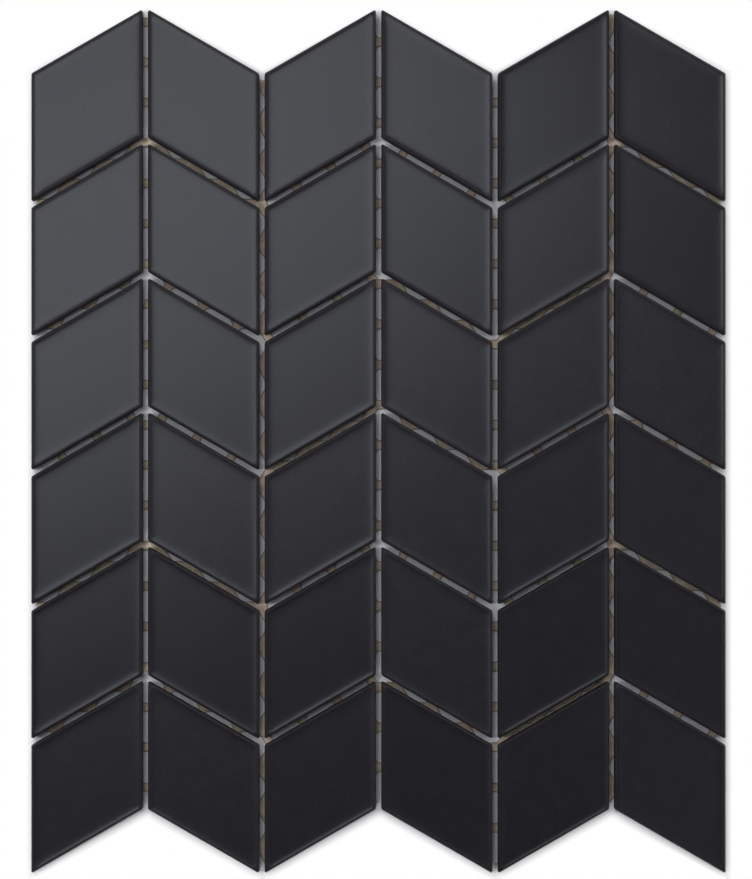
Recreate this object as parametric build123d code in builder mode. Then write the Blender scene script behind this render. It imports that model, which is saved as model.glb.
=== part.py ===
# Sheet of dark matte glass mosaic tiles: six columns of leaning rhombus tiles that form
# chevrons, glued by their backs to one honeycomb net.
#
# Millimetres. The sheet lies flat as it is stored: +X across the columns, +Y up the
# columns, +Z out of the tile faces. The origin is the middle of the net's underside.
from build123d import *
from math import ceil, cos, hypot, radians, tan
import os

# Driving dimensions

columns = 6
rows = 6

tile_side = 48.0  # every edge of the rhombus
tile_slope = 30.0  # degrees between the leaning edges and the X axis
tile_thickness = 6.0

column_joint = 2.0  # clear gap beside a tile
row_joint = 1.9  # clear gap above a tile, square to its leaning edge

arris_width = 1.0  # softened edge around the face, seen from above
arris_drop = 0.9
corner_cut = 0.6  # taken off both edges at each corner, in plan

net_thickness = 0.5
net_cell_pitch = 15.1  # from one horizontal strand to the next below it
net_cell_spread = 12.8  # from one column of cells to the next
net_strand_width = 3.2
net_inset = 1.5  # how far the net stops short of the tiles' outer edges
net_cell_x = -9.9  # middle of the cell nearest to the middle of the sheet
net_cell_y = -1.4

# Derived sizes

lean = tan(radians(tile_slope))
tile_width = tile_side * cos(radians(tile_slope))
column_pitch = tile_width + column_joint
row_pitch = tile_side + row_joint / cos(radians(tile_slope))
column_length = (rows - 1) * row_pitch + tile_side

# From the tile's back to its face: height, and how far the outline has drawn in.
tile_levels = (
    (0.0, 0.0),
    (tile_thickness - arris_drop, 0.0),
    (tile_thickness, arris_width),
)

# A cell's hole: flat above and below, and pointed at its sides. Its sloping sides lie
# half a strand inside the line that the strand follows.
hole_height = net_cell_pitch - net_strand_width
strand_run = net_cell_spread / 3
strand_rise = net_cell_pitch / 2
hole_point = 2 * strand_run - net_strand_width / 2 * hypot(strand_run, strand_rise) / strand_rise
hole_corner = hole_point - hole_height / 2 * strand_run / strand_rise
cell_hole = (
    (hole_point, 0),
    (hole_corner, hole_height / 2),
    (-hole_corner, hole_height / 2),
    (-hole_point, 0),
    (-hole_corner, -hole_height / 2),
    (hole_corner, -hole_height / 2),
)

# The net's cells run from a first one outside the sheet's lower left corner.
net_pairs_left = ceil(columns * column_pitch / 4 / net_cell_spread)
net_cells_down = ceil((column_length + column_pitch * lean) / 2 / net_cell_pitch) + 1
first_cell_x = net_cell_x - 2 * net_pairs_left * net_cell_spread
first_cell_y = net_cell_y - net_cells_down * net_cell_pitch


def column_x(column):
    """X of a column's middle."""
    return (column - (columns - 1) / 2) * column_pitch


def column_lean(column):
    """Rise of a column's leaning edges for each millimetre to the right."""
    return lean if column % 2 == 0 else -lean


def leaning_outline(left, right, half_length, rise):
    """Corners of an upright strip whose ends lean, around its own middle."""
    return (
        (left, left * rise - half_length),
        (right, right * rise - half_length),
        (right, right * rise + half_length),
        (left, left * rise + half_length),
    )


os.makedirs("parts", exist_ok=True)

# Tiles: pressed glass rhombi with a plain back, upright sides and a softened face edge

for column in range(columns):
    for row in range(rows):
        row_y = ((rows - 1) / 2 - row) * row_pitch
        with BuildPart() as tile:
            for height, inset in tile_levels:
                half_width = tile_width / 2 - inset
                half_length = tile_side / 2 - inset / cos(radians(tile_slope))
                with BuildSketch(Plane.XY.offset(net_thickness + height)) as outline:
                    with Locations((column_x(column), row_y)):
                        Polygon(
                            *leaning_outline(-half_width, half_width, half_length, column_lean(column)),
                            align=None,
                        )
                    chamfer(outline.vertices(), corner_cut)
            loft(ruled=True)
        tile.part.label = f"tile_row{row + 1}_column{column + 1}"
        export_step(tile.part, f"parts/{tile.part.label}.step")

# Backing net: a flat honeycomb web, in one strip for each column of tiles. The strips
# meet face to face along the middles of the upright joints. Scraps of strand that the
# cut edge leaves loose are dropped.

for column in range(columns):
    left = -column_pitch / 2 + (column_joint / 2 + net_inset if column == 0 else 0)
    right = column_pitch / 2 - (column_joint / 2 + net_inset if column == columns - 1 else 0)
    half_length = column_length / 2 - net_inset / cos(radians(tile_slope))
    with BuildPart() as net:
        with BuildSketch(mode=Mode.PRIVATE) as web:
            with Locations((column_x(column), 0)):
                Polygon(*leaning_outline(left, right, half_length, column_lean(column)), align=None)
            for stagger in (0, 1):
                start_x = first_cell_x + stagger * net_cell_spread
                start_y = first_cell_y + stagger * net_cell_pitch / 2
                with Locations((start_x, start_y)):
                    with GridLocations(
                        2 * net_cell_spread,
                        net_cell_pitch,
                        2 * net_pairs_left + 1,
                        2 * net_cells_down + 1,
                        align=(Align.MIN, Align.MIN),
                    ):
                        Polygon(*cell_hole, align=None, mode=Mode.SUBTRACT)
        extrude(web.faces().sort_by(SortBy.AREA)[-1], amount=net_thickness)
    net.part.label = f"net_strip_{column + 1}"
    export_step(net.part, f"parts/{net.part.label}.step")
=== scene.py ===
"""A sheet of matte black rhombus glass mosaic tiles on a glued honeycomb net, lying face up.

Metres, in the part's frame: +X across the columns, +Y up the columns, +Z out of the faces.
"""
import random
from math import atan2, ceil, cos, exp, hypot, pi, radians, sin, tan

import bmesh
import bpy
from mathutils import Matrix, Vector


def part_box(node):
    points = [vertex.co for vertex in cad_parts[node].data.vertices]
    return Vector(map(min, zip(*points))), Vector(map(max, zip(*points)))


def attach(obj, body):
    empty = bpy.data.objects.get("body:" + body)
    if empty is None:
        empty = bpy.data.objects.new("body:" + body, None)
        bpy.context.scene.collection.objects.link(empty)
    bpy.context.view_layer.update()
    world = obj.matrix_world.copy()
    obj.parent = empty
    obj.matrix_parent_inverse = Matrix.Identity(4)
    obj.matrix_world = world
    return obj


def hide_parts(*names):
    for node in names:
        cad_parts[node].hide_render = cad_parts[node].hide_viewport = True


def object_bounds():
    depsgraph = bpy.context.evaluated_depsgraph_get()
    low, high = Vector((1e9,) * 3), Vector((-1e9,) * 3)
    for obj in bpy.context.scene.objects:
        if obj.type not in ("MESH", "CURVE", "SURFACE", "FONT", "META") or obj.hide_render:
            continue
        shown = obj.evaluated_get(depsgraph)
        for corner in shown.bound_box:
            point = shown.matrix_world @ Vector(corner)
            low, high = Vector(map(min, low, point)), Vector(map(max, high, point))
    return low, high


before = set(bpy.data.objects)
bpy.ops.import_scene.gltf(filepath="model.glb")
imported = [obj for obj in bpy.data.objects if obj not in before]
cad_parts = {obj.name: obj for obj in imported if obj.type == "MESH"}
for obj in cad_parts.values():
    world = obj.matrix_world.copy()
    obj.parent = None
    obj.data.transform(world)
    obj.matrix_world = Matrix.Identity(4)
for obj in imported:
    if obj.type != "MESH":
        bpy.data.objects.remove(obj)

MM = 0.001

# Sizes of the sheet, read off the frame

cad_low, cad_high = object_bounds()
columns = rows = 6
first_low, first_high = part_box("tile_row1_column1")
next_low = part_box("tile_row1_column2")[0]
below_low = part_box("tile_row2_column1")[0]
tile_width = first_high.x - first_low.x
tile_thickness = first_high.z - first_low.z
column_pitch = next_low.x - first_low.x
row_pitch = first_low.y - below_low.y
slope = radians(30)
lean = tan(slope)
tile_side = tile_width / cos(slope)
column_length = (rows - 1) * row_pitch + tile_side
sheet_width = (columns - 1) * column_pitch + tile_width

# The tiles' pressed shape: a round arris, and a face that sinks a little behind its rim

arris_width = 0.9 * MM
arris_drop = 1.3 * MM
arris_steps = 14
rim_slope = 0.21  # the face's fall over its run, just inside the rim
dish_fade = 0.84 * MM  # the run over which that slope fades to about a third
dish_steps = (0.08, 0.18, 0.3, 0.45, 0.65, 0.9, 1.25, 1.7, 2.4, 3.4, 5.0)  # mm in from the rim
back_radius = 0.35 * MM
back_steps = 3
blunt_radius = 1.2 * MM  # at a tile's wide corners
sharp_radius = 0.55 * MM  # at its sharp corners
inner_sharp_radius = 1.6 * MM  # at its sharp corners too, from two arris widths inwards
corner_steps = 10
tone_seed = 6

# The net's honeycomb, as the solids have it

cell_pitch = 15.1 * MM
cell_spread = 12.8 * MM
cell_x = -9.9 * MM  # middle of the cell nearest to the middle of the sheet
cell_y = -1.4 * MM
net_inset = 1.5 * MM

# The net's yarn. A strand's section is given in mm, as distance from the strand's middle and
# height, from the top round to the underside.

strand_section = (
    (0.00, 0.50),
    (0.80, 0.50),
    (1.45, 0.50),
    (1.72, 0.46),
    (1.80, 0.38),
    (1.72, 0.26),
    (1.55, 0.10),
    (1.30, 0.01),
    (1.02, 0.00),
    (0.78, 0.09),
    (0.52, 0.00),
    (0.26, 0.00),
    (0.00, 0.08),
)
steps_per_side = 6
hole_rounding = 0.30  # how far a hole goes from its hexagon towards a circle
circle_swell = 1.045  # that circle's radius over the mean distance of the hexagon's sides
rounding_reach = 1.2  # mm from the strand's middle, where the rounding is full
wander = 0.8 * MM  # how unevenly the strands lie
wander_size = 7 * MM  # about how far it is from one such wave to the next
weld_distance = 0.02 * MM
cut_tolerance = 1e-7
crease = radians(50)

# The skins' patterns, and the painted shadow along the net's strands

frost_grain = 0.6 * MM
frost_blots = 7 * MM
face_waves = 16 * MM
glue_patches = 9 * MM
glue_shades = 4 * MM
yarn_fuzz = 0.35 * MM
stitch_length = 1.1 * MM
stitch_width = 1.3 * MM
# Painted shadow along both edges of each strand, from where it starts to where it is full
edge_shadow_start = 1.2 * MM  # from the strand's middle
edge_shadow_full = 1.45 * MM

# Floor, lamps and camera. The photo's size and the sheet's place in it are in pixels.

photo_width_px = 752
photo_height_px = 879
sheet_width_px = 694.9
sheet_middle_px = (378.5, 441.35)
camera_height = 1.5
sensor_width = 36.0  # mm
view_limit = 20
shadow_reach = 2.6 * MM  # how far beside the sheet the floor shows its shadow
shadow_shift = (0.3 * MM, -1.2 * MM, 0)  # moves that limit away from the brightest lamp
floor_drop = 0.02 * MM  # keeps the floor off the net's underside
floor_reach = 5
backdrop_reach = 6
backdrop_height = 1
room_light = 0.026
panel_height = 1.506
lamp_distance = 1.8
lamp_size = 0.4
board_width = 1.7
board_height = 0.8
board_tilt = 69  # degrees from overhead


class Link:
    """A socket on its way through a node tree; arithmetic on it adds the Math nodes."""

    def __init__(self, tree, socket):
        self.tree = tree
        self.socket = socket

    def out(self, name):
        """Another output of the same node."""
        return Link(self.tree, self.socket.node.outputs[name])

    def math(self, operation, *others):
        values = dict(enumerate((self, *others)))
        return self.tree.node("ShaderNodeMath", {"operation": operation}, values)

    def reverse_math(self, operation, other):
        return self.tree.node("ShaderNodeMath", {"operation": operation}, {0: other, 1: self})

    def __add__(self, other):
        return self.math("ADD", other)

    def __radd__(self, other):
        return self.reverse_math("ADD", other)

    def __sub__(self, other):
        return self.math("SUBTRACT", other)

    def __rsub__(self, other):
        return self.reverse_math("SUBTRACT", other)

    def __mul__(self, other):
        return self.math("MULTIPLY", other)

    def __rmul__(self, other):
        return self.reverse_math("MULTIPLY", other)

    def __abs__(self):
        return self.math("ABSOLUTE")


class Tree:
    """A node tree that is built by calls; every node comes from node()."""

    def __init__(self, tree):
        self.tree = tree

    def node(self, kind, settings=None, values=None, output=0):
        made = self.tree.nodes.new(kind)
        for name, value in (settings or {}).items():
            setattr(made, name, value)
        for key, value in (values or {}).items():
            socket = made.inputs[key]
            if isinstance(value, Link):
                self.tree.links.new(value.socket, socket)
            else:
                socket.default_value = value
        return Link(self, made.outputs[output]) if made.outputs else made

    def between(self, value, low, high, to_low=0.0, to_high=1.0):
        """value mapped from one range to another, held at the ends."""
        values = {0: value, 1: low, 2: high, 3: to_low, 4: to_high}
        return self.node("ShaderNodeMapRange", {"clamp": True}, values)

    def mix(self, share, first, second):
        """Two colours mixed by share."""
        values = {"Factor": share, 6: first, 7: second}
        return self.node("ShaderNodeMix", {"data_type": "RGBA"}, values, 2)

    def noise(self, coordinates, size, detail=2.0, roughness=0.5):
        """Even noise whose blots are about size across."""
        values = {
            "Vector": coordinates,
            "Scale": 1 / size,
            "Detail": detail,
            "Roughness": roughness,
        }
        return self.node("ShaderNodeTexNoise", {}, values)


def rgba(red, green, blue):
    return (red, green, blue, 1.0)


def new_material(name):
    material = bpy.data.materials.new(name)
    material.use_nodes = True
    material.node_tree.nodes.clear()
    return material, Tree(material.node_tree)


def finish_material(tree, surface):
    tree.node("ShaderNodeOutputMaterial", {}, {"Surface": surface})


def black_glass():
    """Opaque black glass with a fine frosted skin."""
    material, tree = new_material("frosted_black_glass")
    place = tree.node("ShaderNodeTexCoord", output="Object")
    grain = tree.noise(place, frost_grain, 2.0, 0.6)
    blots = tree.noise(place, frost_blots, 2.0)
    waves = tree.noise(place, face_waves, 1.0)
    tone = tree.node("ShaderNodeAttribute", {"attribute_name": "tone"}, output="Fac")
    share = tree.between(tone * 0.2 + blots * 0.25 + grain * 0.55, 0.35, 0.65)
    deep_black = rgba(0.0078, 0.0068, 0.0092)
    frosted_black = rgba(0.0138, 0.0122, 0.0164)
    colour = tree.mix(share, deep_black, frosted_black)
    edge = tree.node("ShaderNodeAttribute", {"attribute_name": "edge"}, output="Fac")
    roughness = 0.215 + blots * 0.03 + grain * 0.04 + edge * 0.25
    skin = tree.node(
        "ShaderNodeBump",
        {},
        {"Strength": 0.12, "Distance": 0.008 * MM, "Height": grain},
    )
    body = tree.node(
        "ShaderNodeBump",
        {},
        {"Strength": 0.3, "Distance": 0.05 * MM, "Height": waves, "Normal": skin},
    )
    surface = tree.node(
        "ShaderNodeBsdfPrincipled",
        {},
        {"Base Color": colour, "Roughness": roughness, "IOR": 1.5, "Normal": body},
    )
    finish_material(tree, surface)
    return material


def glued_net():
    """Knitted yarn flattened in dried tan glue; painted shade in its furrows and along its edges.
    """
    material, tree = new_material("glue_soaked_net")
    place = tree.node("ShaderNodeTexCoord", output="Object")
    strand = tree.node("ShaderNodeUVMap", {"uv_map": "strand"})
    along_across = tree.node("ShaderNodeSeparateXYZ", {}, {0: strand})
    along = along_across.out("X")
    across = along_across.out("Y")
    blots = tree.noise(place, glue_patches, 2.0, 0.6)
    shades = tree.noise(place, glue_shades, 3.0, 0.6)
    fuzz = tree.noise(place, yarn_fuzz, 3.0, 0.6)
    stitch = abs((along * (pi / stitch_length) + across * (pi / stitch_width)).math("SINE"))
    ridge = tree.between(stitch, 0.0, 0.55)
    sand = rgba(0.90, 0.75, 0.60)
    olive = rgba(0.62, 0.54, 0.38)
    brown = rgba(0.72, 0.53, 0.44)
    # painted shade for the stitch furrows
    furrow_shade = rgba(0.26, 0.21, 0.15)
    # painted shadow for the strands' rounded edges
    painted_edge_shadow = rgba(0.16, 0.13, 0.09)
    glue = tree.mix(tree.between(blots, 0.42, 0.58), olive, brown)
    glue = tree.mix(tree.between(shades, 0.42, 0.66), glue, sand)
    # painted shade darkens the furrows between the stitches
    glue = tree.mix(ridge * 0.5 + 0.5, furrow_shade, glue)
    # painted shadow along both edges of each strand, broken up by the fuzz
    edge_shadow_share = tree.between(across, edge_shadow_start, edge_shadow_full)
    colour = tree.mix(edge_shadow_share * (0.3 + fuzz * 0.6), glue, painted_edge_shadow)
    bump = tree.node(
        "ShaderNodeBump",
        {},
        {"Strength": 0.7, "Distance": 0.1 * MM, "Height": ridge * 0.6 + fuzz * 0.4},
    )
    roughness = tree.between(blots, 0.3, 0.7, 0.75, 0.5)
    surface = tree.node(
        "ShaderNodeBsdfPrincipled",
        {},
        {"Base Color": colour, "Roughness": roughness, "Normal": bump},
    )
    finish_material(tree, surface)
    return material


def finished(mesh, material, node):
    """Makes a mesh a piece of the object, standing for the solid of a node."""
    mesh.materials.append(material)
    piece = bpy.data.objects.new(mesh.name, mesh)
    bpy.context.scene.collection.objects.link(piece)
    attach(piece, "root")
    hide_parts(node)


# Tiles


def rounded_rhombus(inset, rise, sharp):
    """One ring of points around a tile, drawn in by inset and with rounded corners."""
    half_width = tile_width / 2 - inset
    half_length = tile_side / 2 - inset / cos(slope)
    corners = [
        Vector((-half_width, -half_width * rise - half_length)),
        Vector((half_width, half_width * rise - half_length)),
        Vector((half_width, half_width * rise + half_length)),
        Vector((-half_width, -half_width * rise + half_length)),
    ]
    points = []
    for i, corner in enumerate(corners):
        back = (corners[i - 1] - corner).normalized()
        ahead = (corners[(i + 1) % 4] - corner).normalized()
        half_angle = back.angle(ahead) / 2
        radius = blunt_radius if half_angle > radians(45) else sharp
        centre = corner + (back + ahead).normalized() * (radius / sin(half_angle))
        start = corner + back * (radius / tan(half_angle)) - centre
        turn = pi - 2 * half_angle
        for step in range(corner_steps + 1):
            angle = atan2(start.y, start.x) + turn * step / corner_steps
            points.append(centre + radius * Vector((cos(angle), sin(angle))))
    return points


def tile_profile():
    """Inset and height from the back's edge, up the side, over the arris and into the dish."""
    profile = []
    for step in range(back_steps + 1):
        angle = radians(90 / back_steps * step)
        profile.append((back_radius * (1 - sin(angle)), back_radius * (1 - cos(angle))))
    for step in range(arris_steps + 1):
        angle = pi / 2 * step / arris_steps
        height = tile_thickness - arris_drop * (1 - sin(angle))
        profile.append((arris_width * (1 - cos(angle)), height))
    for step in dish_steps:
        sink = rim_slope * dish_fade * (1 - exp(-step * MM / dish_fade))
        profile.append((arris_width + step * MM, tile_thickness - sink))
    return profile


def tile_mesh(name, middle, rise, tone):
    """A pressed tile: plain flat back, upright sides and a soft arris around the face.

    The attribute edge is 1 on the sides and the outer half of the arris, and fades to 0 half an
    arris width inside the face's rim.
    """
    form = bmesh.new()
    edge = form.verts.layers.float.new("edge")
    rings = []
    for inset, height in tile_profile():
        inward = min(1, inset / (2 * arris_width))
        sharp = sharp_radius + (inner_sharp_radius - sharp_radius) * inward
        ring = []
        for point in rounded_rhombus(inset, rise, sharp):
            ring.append(form.verts.new((point.x + middle.x, point.y + middle.y, middle.z + height)))
            ring[-1][edge] = max(0.0, min(1.0, 1.5 - inset / arris_width))
        rings.append(ring)
    for lower, upper in zip(rings, rings[1:]):
        for i in range(len(lower)):
            form.faces.new((lower[i - 1], lower[i], upper[i], upper[i - 1]))
    form.faces.new(reversed(rings[0]))
    form.faces.new(rings[-1])
    mesh = bpy.data.meshes.new(name)
    form.to_mesh(mesh)
    form.free()
    mesh.polygons.foreach_set("use_smooth", [True] * len(mesh.polygons))
    tones = mesh.attributes.new("tone", "FLOAT", "POINT")
    tones.data.foreach_set("value", [tone] * len(mesh.vertices))
    return mesh


def make_tiles(material):
    """A pressed tile around each of the frame's tiles, with a tone of its own."""
    draw = random.Random(tone_seed)
    for column in range(1, columns + 1):
        for row in range(1, rows + 1):
            node = f"tile_row{row}_column{column}"
            low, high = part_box(node)
            middle = Vector(((low.x + high.x) / 2, (low.y + high.y) / 2, low.z))
            rise = lean if column % 2 else -lean
            mesh = tile_mesh(f"{node}_glass", middle, rise, draw.random())
            finished(mesh, material, node)


# Net


def cell_corners(across):
    """A cell's six corners, once its sides have moved in by across from the strands' middles."""
    run = cell_spread / 3
    rise = cell_pitch / 2
    point = 2 * run - across * hypot(run, rise) / rise
    top = rise - across
    side = point - top * run / rise
    half = [Vector((point, 0)), Vector((side, top)), Vector((-side, top))]
    return half + [-corner for corner in half]


def cell_mesh():
    """The web around one cell, from the middles of its six strands in to its hole."""
    around = 6 * steps_per_side
    form = bmesh.new()
    strand = form.loops.layers.uv.new("strand")
    rings = []
    for across, height in strand_section:
        corners = cell_corners(across * MM)
        middle_reach = (corners[0].lerp(corners[1], 0.5).length + corners[1].y) / 2
        rounding = hole_rounding * min(1.0, across / rounding_reach) ** 2
        ring = []
        for i in range(around):
            side = i // steps_per_side
            share = i / steps_per_side - side
            on_hole = corners[side].lerp(corners[(side + 1) % 6], share)
            circle = on_hole.normalized() * middle_reach * circle_swell
            rounded = on_hole.lerp(circle, rounding)
            vertex = form.verts.new((rounded.x, rounded.y, height * MM))
            ring.append((vertex, (share - 0.5) * cell_pitch / 2, across * MM))
        rings.append(ring)
    for outer, inner in zip(rings, rings[1:]):
        for i in range(around):
            j = (i + 1) % around
            corners = (outer[i], outer[j], inner[j], inner[i])
            face = form.faces.new([corner[0] for corner in corners])
            for loop, corner in zip(face.loops, corners):
                loop[strand].uv = (abs(corner[1]), corner[2])
    mesh = bpy.data.meshes.new("net_cell")
    form.to_mesh(mesh)
    form.free()
    return mesh


def net_tree(material):
    """Geometry Nodes: one cell repeated as a honeycomb, joined and made a little uneven."""
    group = bpy.data.node_groups.new("honeycomb_net", "GeometryNodeTree")
    inputs = {
        "Cell": ("NodeSocketObject", None),
        "First X": ("NodeSocketFloat", 0.0),
        "First Y": ("NodeSocketFloat", 0.0),
        "Column Pitch": ("NodeSocketFloat", 0.01),
        "Cell Pitch": ("NodeSocketFloat", 0.01),
        "Column Pairs": ("NodeSocketInt", 2),
        "Cells": ("NodeSocketInt", 2),
        "Weld Distance": ("NodeSocketFloat", 0.0),
        "Wander": ("NodeSocketFloat", 0.0),
        "Wander Scale": ("NodeSocketFloat", 1.0),
    }
    for name, (kind, value) in inputs.items():
        socket = group.interface.new_socket(name, in_out="INPUT", socket_type=kind)
        if value is not None:
            socket.default_value = value
    group.interface.new_socket("Geometry", in_out="OUTPUT", socket_type="NodeSocketGeometry")
    tree = Tree(group)
    given = tree.node("NodeGroupInput", output="Cell")
    pairs = given.out("Column Pairs")
    cells = given.out("Cells")
    pitch = given.out("Cell Pitch")
    column_step = given.out("Column Pitch")
    double_pitch = column_step * 2
    lines = []
    for odd in (0, 1):
        points = tree.node(
            "GeometryNodeMeshGrid",
            {},
            {
                "Size X": double_pitch * (pairs - 1),
                "Size Y": pitch * (cells - 1),
                "Vertices X": pairs,
                "Vertices Y": cells,
            },
            "Mesh",
        )
        middle_x = given.out("First X") + double_pitch * (pairs - 1) * 0.5 + column_step * odd
        middle_y = given.out("First Y") + pitch * (cells - 1) * 0.5 + pitch * 0.5 * odd
        place = tree.node("ShaderNodeCombineXYZ", {}, {0: middle_x, 1: middle_y, 2: 0.0})
        moved = tree.node("GeometryNodeTransform", {}, {"Geometry": points, "Translation": place})
        lines.append(moved)
    grid = tree.node("GeometryNodeJoinGeometry")
    for line in reversed(lines):
        group.links.new(line.socket, grid.socket.node.inputs[0])
    cell = tree.node("GeometryNodeObjectInfo", {}, {"Object": given}, "Geometry")
    honeycomb = tree.node("GeometryNodeInstanceOnPoints", {}, {"Points": grid, "Instance": cell})
    real = tree.node("GeometryNodeRealizeInstances", {}, {"Geometry": honeycomb})
    weld = given.out("Weld Distance")
    whole = tree.node("GeometryNodeMergeByDistance", {}, {"Geometry": real, "Distance": weld})
    here = tree.node("GeometryNodeInputPosition")
    drift = tree.node(
        "ShaderNodeTexNoise",
        {},
        {"Vector": here, "Scale": given.out("Wander Scale"), "Detail": 2.0},
        "Color",
    )
    centred = tree.node(
        "ShaderNodeVectorMath", {"operation": "SUBTRACT"}, {0: drift, 1: (0.5, 0.5, 0.5)}
    )
    reach = given.out("Wander")
    spread = tree.node("ShaderNodeCombineXYZ", {}, {0: reach, 1: reach, 2: 0.0})
    offset = tree.node("ShaderNodeVectorMath", {"operation": "MULTIPLY"}, {0: centred, 1: spread})
    uneven = tree.node("GeometryNodeSetPosition", {}, {"Geometry": whole, "Offset": offset})
    painted = tree.node("GeometryNodeSetMaterial", {}, {"Geometry": uneven, "Material": material})
    tree.node("NodeGroupOutput", {}, {"Geometry": painted})
    return group


def honeycomb_mesh(material):
    """The whole net, over more than the sheet, as one plain mesh."""
    cell = bpy.data.objects.new("net_cell", cell_mesh())
    bpy.context.scene.collection.objects.link(cell)
    pairs_left = ceil(columns * column_pitch / 4 / cell_spread)
    cells_down = ceil((column_length + column_pitch * lean) / 2 / cell_pitch) + 1
    values = {
        "Cell": cell,
        "First X": cell_x - 2 * pairs_left * cell_spread,
        "First Y": cell_y - cells_down * cell_pitch,
        "Column Pitch": cell_spread,
        "Cell Pitch": cell_pitch,
        "Column Pairs": 2 * pairs_left + 1,
        "Cells": 2 * cells_down + 1,
        "Weld Distance": weld_distance,
        "Wander": wander,
        "Wander Scale": 1 / wander_size,
    }
    carrier = bpy.data.objects.new("net", bpy.data.meshes.new("net"))
    bpy.context.scene.collection.objects.link(carrier)
    group = net_tree(material)
    modifier = carrier.modifiers.new("honeycomb", "NODES")
    modifier.node_group = group
    for item in group.interface.items_tree:
        if item.in_out == "INPUT":
            modifier[item.identifier] = values[item.name]
    depsgraph = bpy.context.evaluated_depsgraph_get()
    mesh = bpy.data.meshes.new_from_object(carrier.evaluated_get(depsgraph))
    bpy.data.objects.remove(carrier)
    bpy.data.objects.remove(cell)
    return mesh


def cut(form, point, outward):
    """Cuts off what lies beyond a plane and closes the cut ends."""
    made = bmesh.ops.bisect_plane(
        form,
        geom=list(form.verts) + list(form.edges) + list(form.faces),
        dist=cut_tolerance,
        plane_co=point,
        plane_no=outward,
        clear_outer=True,
    )
    edges = [e for e in made["geom_cut"] if isinstance(e, bmesh.types.BMEdge)]
    bmesh.ops.edgeloop_fill(form, edges=edges)


def drop_scraps(form):
    """Deletes every piece of the mesh but the largest."""
    left = set(form.verts)
    islands = []
    while left:
        island = {left.pop()}
        front = list(island)
        while front:
            vertex = front.pop()
            for edge in vertex.link_edges:
                other = edge.other_vert(vertex)
                if other in left:
                    left.discard(other)
                    island.add(other)
                    front.append(other)
        islands.append(island)
    islands.sort(key=len)
    loose = [vertex for island in islands[:-1] for vertex in island]
    bmesh.ops.delete(form, geom=loose, context="VERTS")


def make_net(material):
    """Cuts the net into one strip under each column of tiles."""
    whole = honeycomb_mesh(material)
    outer_room = (column_pitch - tile_width + 2 * net_inset) / 2
    half_length = column_length / 2 - net_inset / cos(slope)
    far_away = column_pitch / 2 + 2 * cell_spread
    for column in range(1, columns + 1):
        node = f"net_strip_{column}"
        middle_x = (column - (columns + 1) / 2) * column_pitch
        rise = lean if column % 2 else -lean
        left = -column_pitch / 2 + (column == 1) * outer_room
        right = column_pitch / 2 - (column == columns) * outer_room
        form = bmesh.new()
        form.from_mesh(whole)
        far = [v for v in form.verts if abs(v.co.x - middle_x) > far_away]
        bmesh.ops.delete(form, geom=far, context="VERTS")
        cut(form, (middle_x + left, 0, 0), (-1, 0, 0))
        cut(form, (middle_x + right, 0, 0), (1, 0, 0))
        cut(form, (middle_x, half_length, 0), (-rise, 1, 0))
        cut(form, (middle_x, -half_length, 0), (rise, -1, 0))
        drop_scraps(form)
        bmesh.ops.recalc_face_normals(form, faces=form.faces)
        mesh = bpy.data.meshes.new(f"{node}_yarn")
        form.to_mesh(mesh)
        form.free()
        mesh.polygons.foreach_set("use_smooth", [True] * len(mesh.polygons))
        mesh.set_sharp_from_angle(angle=crease)
        finished(mesh, material, node)
    bpy.data.meshes.remove(whole)


# Floor, light and camera


def sheet_outline(out):
    """The sheet's zigzag outline seen from above, moved out by out."""
    half_width = sheet_width / 2 + out
    half_length = column_length / 2 + out / cos(slope)
    top = []
    for column in range(columns + 1):
        x = (column - columns / 2) * column_pitch
        if column in (0, columns):
            x = half_width if column else -half_width
        level = (column % 2 - 0.5) * tile_width * lean
        top.append(Vector((x, level + half_length, 0)))
    bottom = [Vector((corner.x, corner.y - 2 * half_length, 0)) for corner in reversed(top)]
    return top + bottom


def make_floor():
    """A white floor that rises to a low backdrop.

    It keeps the sheet's shadow under the sheet and close beside it. From there on, where the
    attribute away is 1, it is seen as plain white.
    """
    form = bmesh.new()
    away = form.verts.layers.float.new("away")
    outline = sheet_outline(0)
    shadow_edge = [corner + Vector(shadow_shift) for corner in sheet_outline(shadow_reach)]
    floor_edge = [corner.normalized() * floor_reach for corner in outline]
    backdrop_edge = [corner.normalized() * backdrop_reach for corner in outline]
    rings = []
    for corners, height, value in (
        (outline, 0, 0.0),
        (shadow_edge, 0, 1.0),
        (floor_edge, 0, 1.0),
        (backdrop_edge, backdrop_height, 1.0),
    ):
        ring = []
        for corner in corners:
            ring.append(form.verts.new((corner.x, corner.y, height)))
            ring[-1][away] = value
        rings.append(ring)
    form.faces.new(rings[0])
    for inner, outer in zip(rings, rings[1:]):
        for i in range(len(inner)):
            form.faces.new((inner[i - 1], outer[i - 1], outer[i], inner[i]))
    bmesh.ops.recalc_face_normals(form, faces=form.faces)
    mesh = bpy.data.meshes.new("floor")
    form.to_mesh(mesh)
    form.free()
    floor = bpy.data.objects.new("floor", mesh)
    floor.location.z = -floor_drop
    bpy.context.scene.collection.objects.link(floor)
    material, tree = new_material("floor_white")
    rays = tree.node("ShaderNodeLightPath", output="Is Camera Ray")
    seen = rays.math("MAXIMUM", rays.out("Is Glossy Ray"))
    seen = seen.math("MAXIMUM", rays.out("Is Transmission Ray"))
    share = tree.node("ShaderNodeAttribute", {"attribute_name": "away"}, output="Fac")
    matt = tree.node("ShaderNodeBsdfDiffuse", {}, {"Color": rgba(0.98, 0.97, 1.0)})
    white = tree.node("ShaderNodeEmission", {}, {"Color": rgba(1, 1, 1), "Strength": 1.0})
    surface = tree.node("ShaderNodeMixShader", {}, {0: seen * share, 1: matt, 2: white})
    finish_material(tree, surface)
    mesh.materials.append(material)


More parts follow.
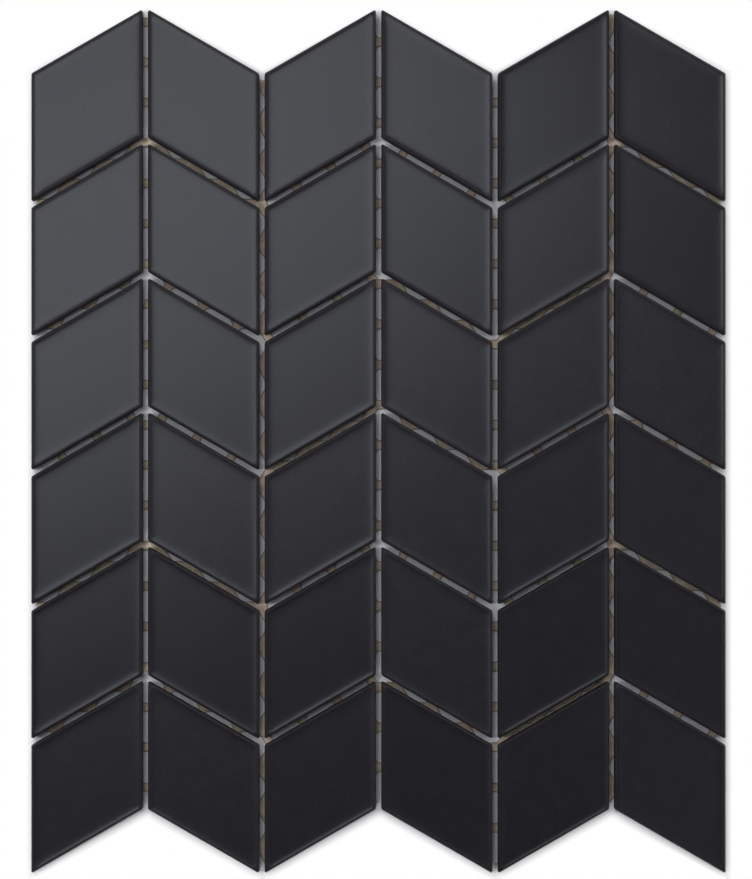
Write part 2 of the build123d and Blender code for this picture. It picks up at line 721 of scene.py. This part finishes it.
def make_world():
    """The dim, even light of the room around the lamps."""
    world = bpy.data.worlds.new("studio")
    world.use_nodes = True
    world.node_tree.nodes.clear()
    tree = Tree(world.node_tree)
    values = {"Color": rgba(1, 1, 1), "Strength": room_light}
    room = tree.node("ShaderNodeBackground", {}, values)
    tree.node("ShaderNodeOutputWorld", {}, {"Surface": room})
    bpy.context.scene.world = world


def area_lamp(name, place, width, height, energy, colour=(1, 1, 1)):
    """A rectangular lamp that the camera doesn't see; it faces down until it is turned."""
    light = bpy.data.lights.new(name, "AREA")
    light.shape = "RECTANGLE"
    light.size = width
    light.size_y = height
    light.color = colour
    light.energy = energy
    lamp = bpy.data.objects.new(name, light)
    lamp.location = place
    lamp.visible_camera = False
    bpy.context.scene.collection.objects.link(lamp)
    return lamp


def make_panel(name, middle, turn, width, length, radiance, colour=(1, 1, 1)):
    """A level soft panel overhead, seen in the glass; radiance is its brightness."""
    energy = radiance * pi * width * length
    lamp = area_lamp(name, (*middle, panel_height), width, length, energy, colour)
    lamp.rotation_euler = (0, 0, turn)


def aimed_lamp(name, bearing, tilt, width, height, energy):
    """A lamp aimed at the sheet.

    bearing is to the left of straight up the sheet and tilt is from overhead, in degrees.
    """
    side = lamp_distance * sin(radians(tilt))
    turn = radians(bearing)
    place = Vector((-sin(turn) * side, cos(turn) * side, lamp_distance * cos(radians(tilt))))
    lamp = area_lamp(name, place, width, height, energy)
    lamp.rotation_euler = (-place).to_track_quat("-Z", "Y").to_euler()
    return lamp


def make_reflector(name, bearing, radiance):
    """A pale board standing beside the sheet, which lights the arrises that face it."""
    energy = radiance * pi * board_width * board_height
    aimed_lamp(name, bearing, board_tilt, board_width, board_height, energy)


def make_lamp(name, bearing, tilt, light_share):
    """A soft lamp that the glass doesn't mirror; light_share is the light that it gives."""
    energy = light_share * (pi * lamp_distance) ** 2 / cos(radians(tilt))
    lamp = aimed_lamp(name, bearing, tilt, lamp_size, lamp_size, energy)
    lamp.visible_glossy = False


def make_lights():
    make_panel(
        "key_softbox",
        middle=(-0.246, 0.1724),
        turn=0.521,
        width=0.741,
        length=0.386,
        radiance=2.78,
        colour=(0.918, 0.977, 1.05),
    )
    make_panel(
        "right_strip",
        middle=(0.357, -0.076),
        turn=-0.209,
        width=0.153,
        length=1.32,
        radiance=0.4,
    )
    for name, bearing, radiance in (
        ("right_board", 270, 0.8),
        ("upper_right_board", 315, 1.2),
        ("upper_board", 0, 0.45),
        ("upper_left_board", 45, 0.45),
        ("lower_board", 180, 0.2),
    ):
        make_reflector(name, bearing, radiance)
    for name, bearing, tilt, light_share in (
        ("top_light", 13, 24, 0.07),
        ("left_light", 60, 26, 0.05),
        ("upper_left_light", 30, 42, 0.14),
        ("far_left_light", 90, 42, 0.16),
        ("lower_left_light", 150, 42, 0.12),
        ("lower_right_light", 210, 42, 0.05),
        ("right_light", 270, 42, 0.07),
        ("upper_right_light", 330, 42, 0.08),
    ):
        make_lamp(name, bearing, tilt, light_share)


def make_camera():
    """A camera straight above that frames the sheet as the photo does."""
    data = bpy.data.cameras.new("camera")
    camera = bpy.data.objects.new("camera", data)
    bpy.context.scene.collection.objects.link(camera)
    metres_per_px = (cad_high.x - cad_low.x) / sheet_width_px
    camera.location = (
        (photo_width_px / 2 - sheet_middle_px[0]) * metres_per_px,
        (sheet_middle_px[1] - photo_height_px / 2) * metres_per_px,
        camera_height + cad_high.z,
    )
    data.sensor_width = sensor_width
    data.lens = sensor_width * camera_height / (photo_height_px * metres_per_px)
    data.clip_end = view_limit
    bpy.context.scene.camera = camera


make_tiles(black_glass())
make_net(glued_net())
make_floor()
make_world()
make_lights()
make_camera()
bpy.context.scene.view_settings.view_transform = "Standard"
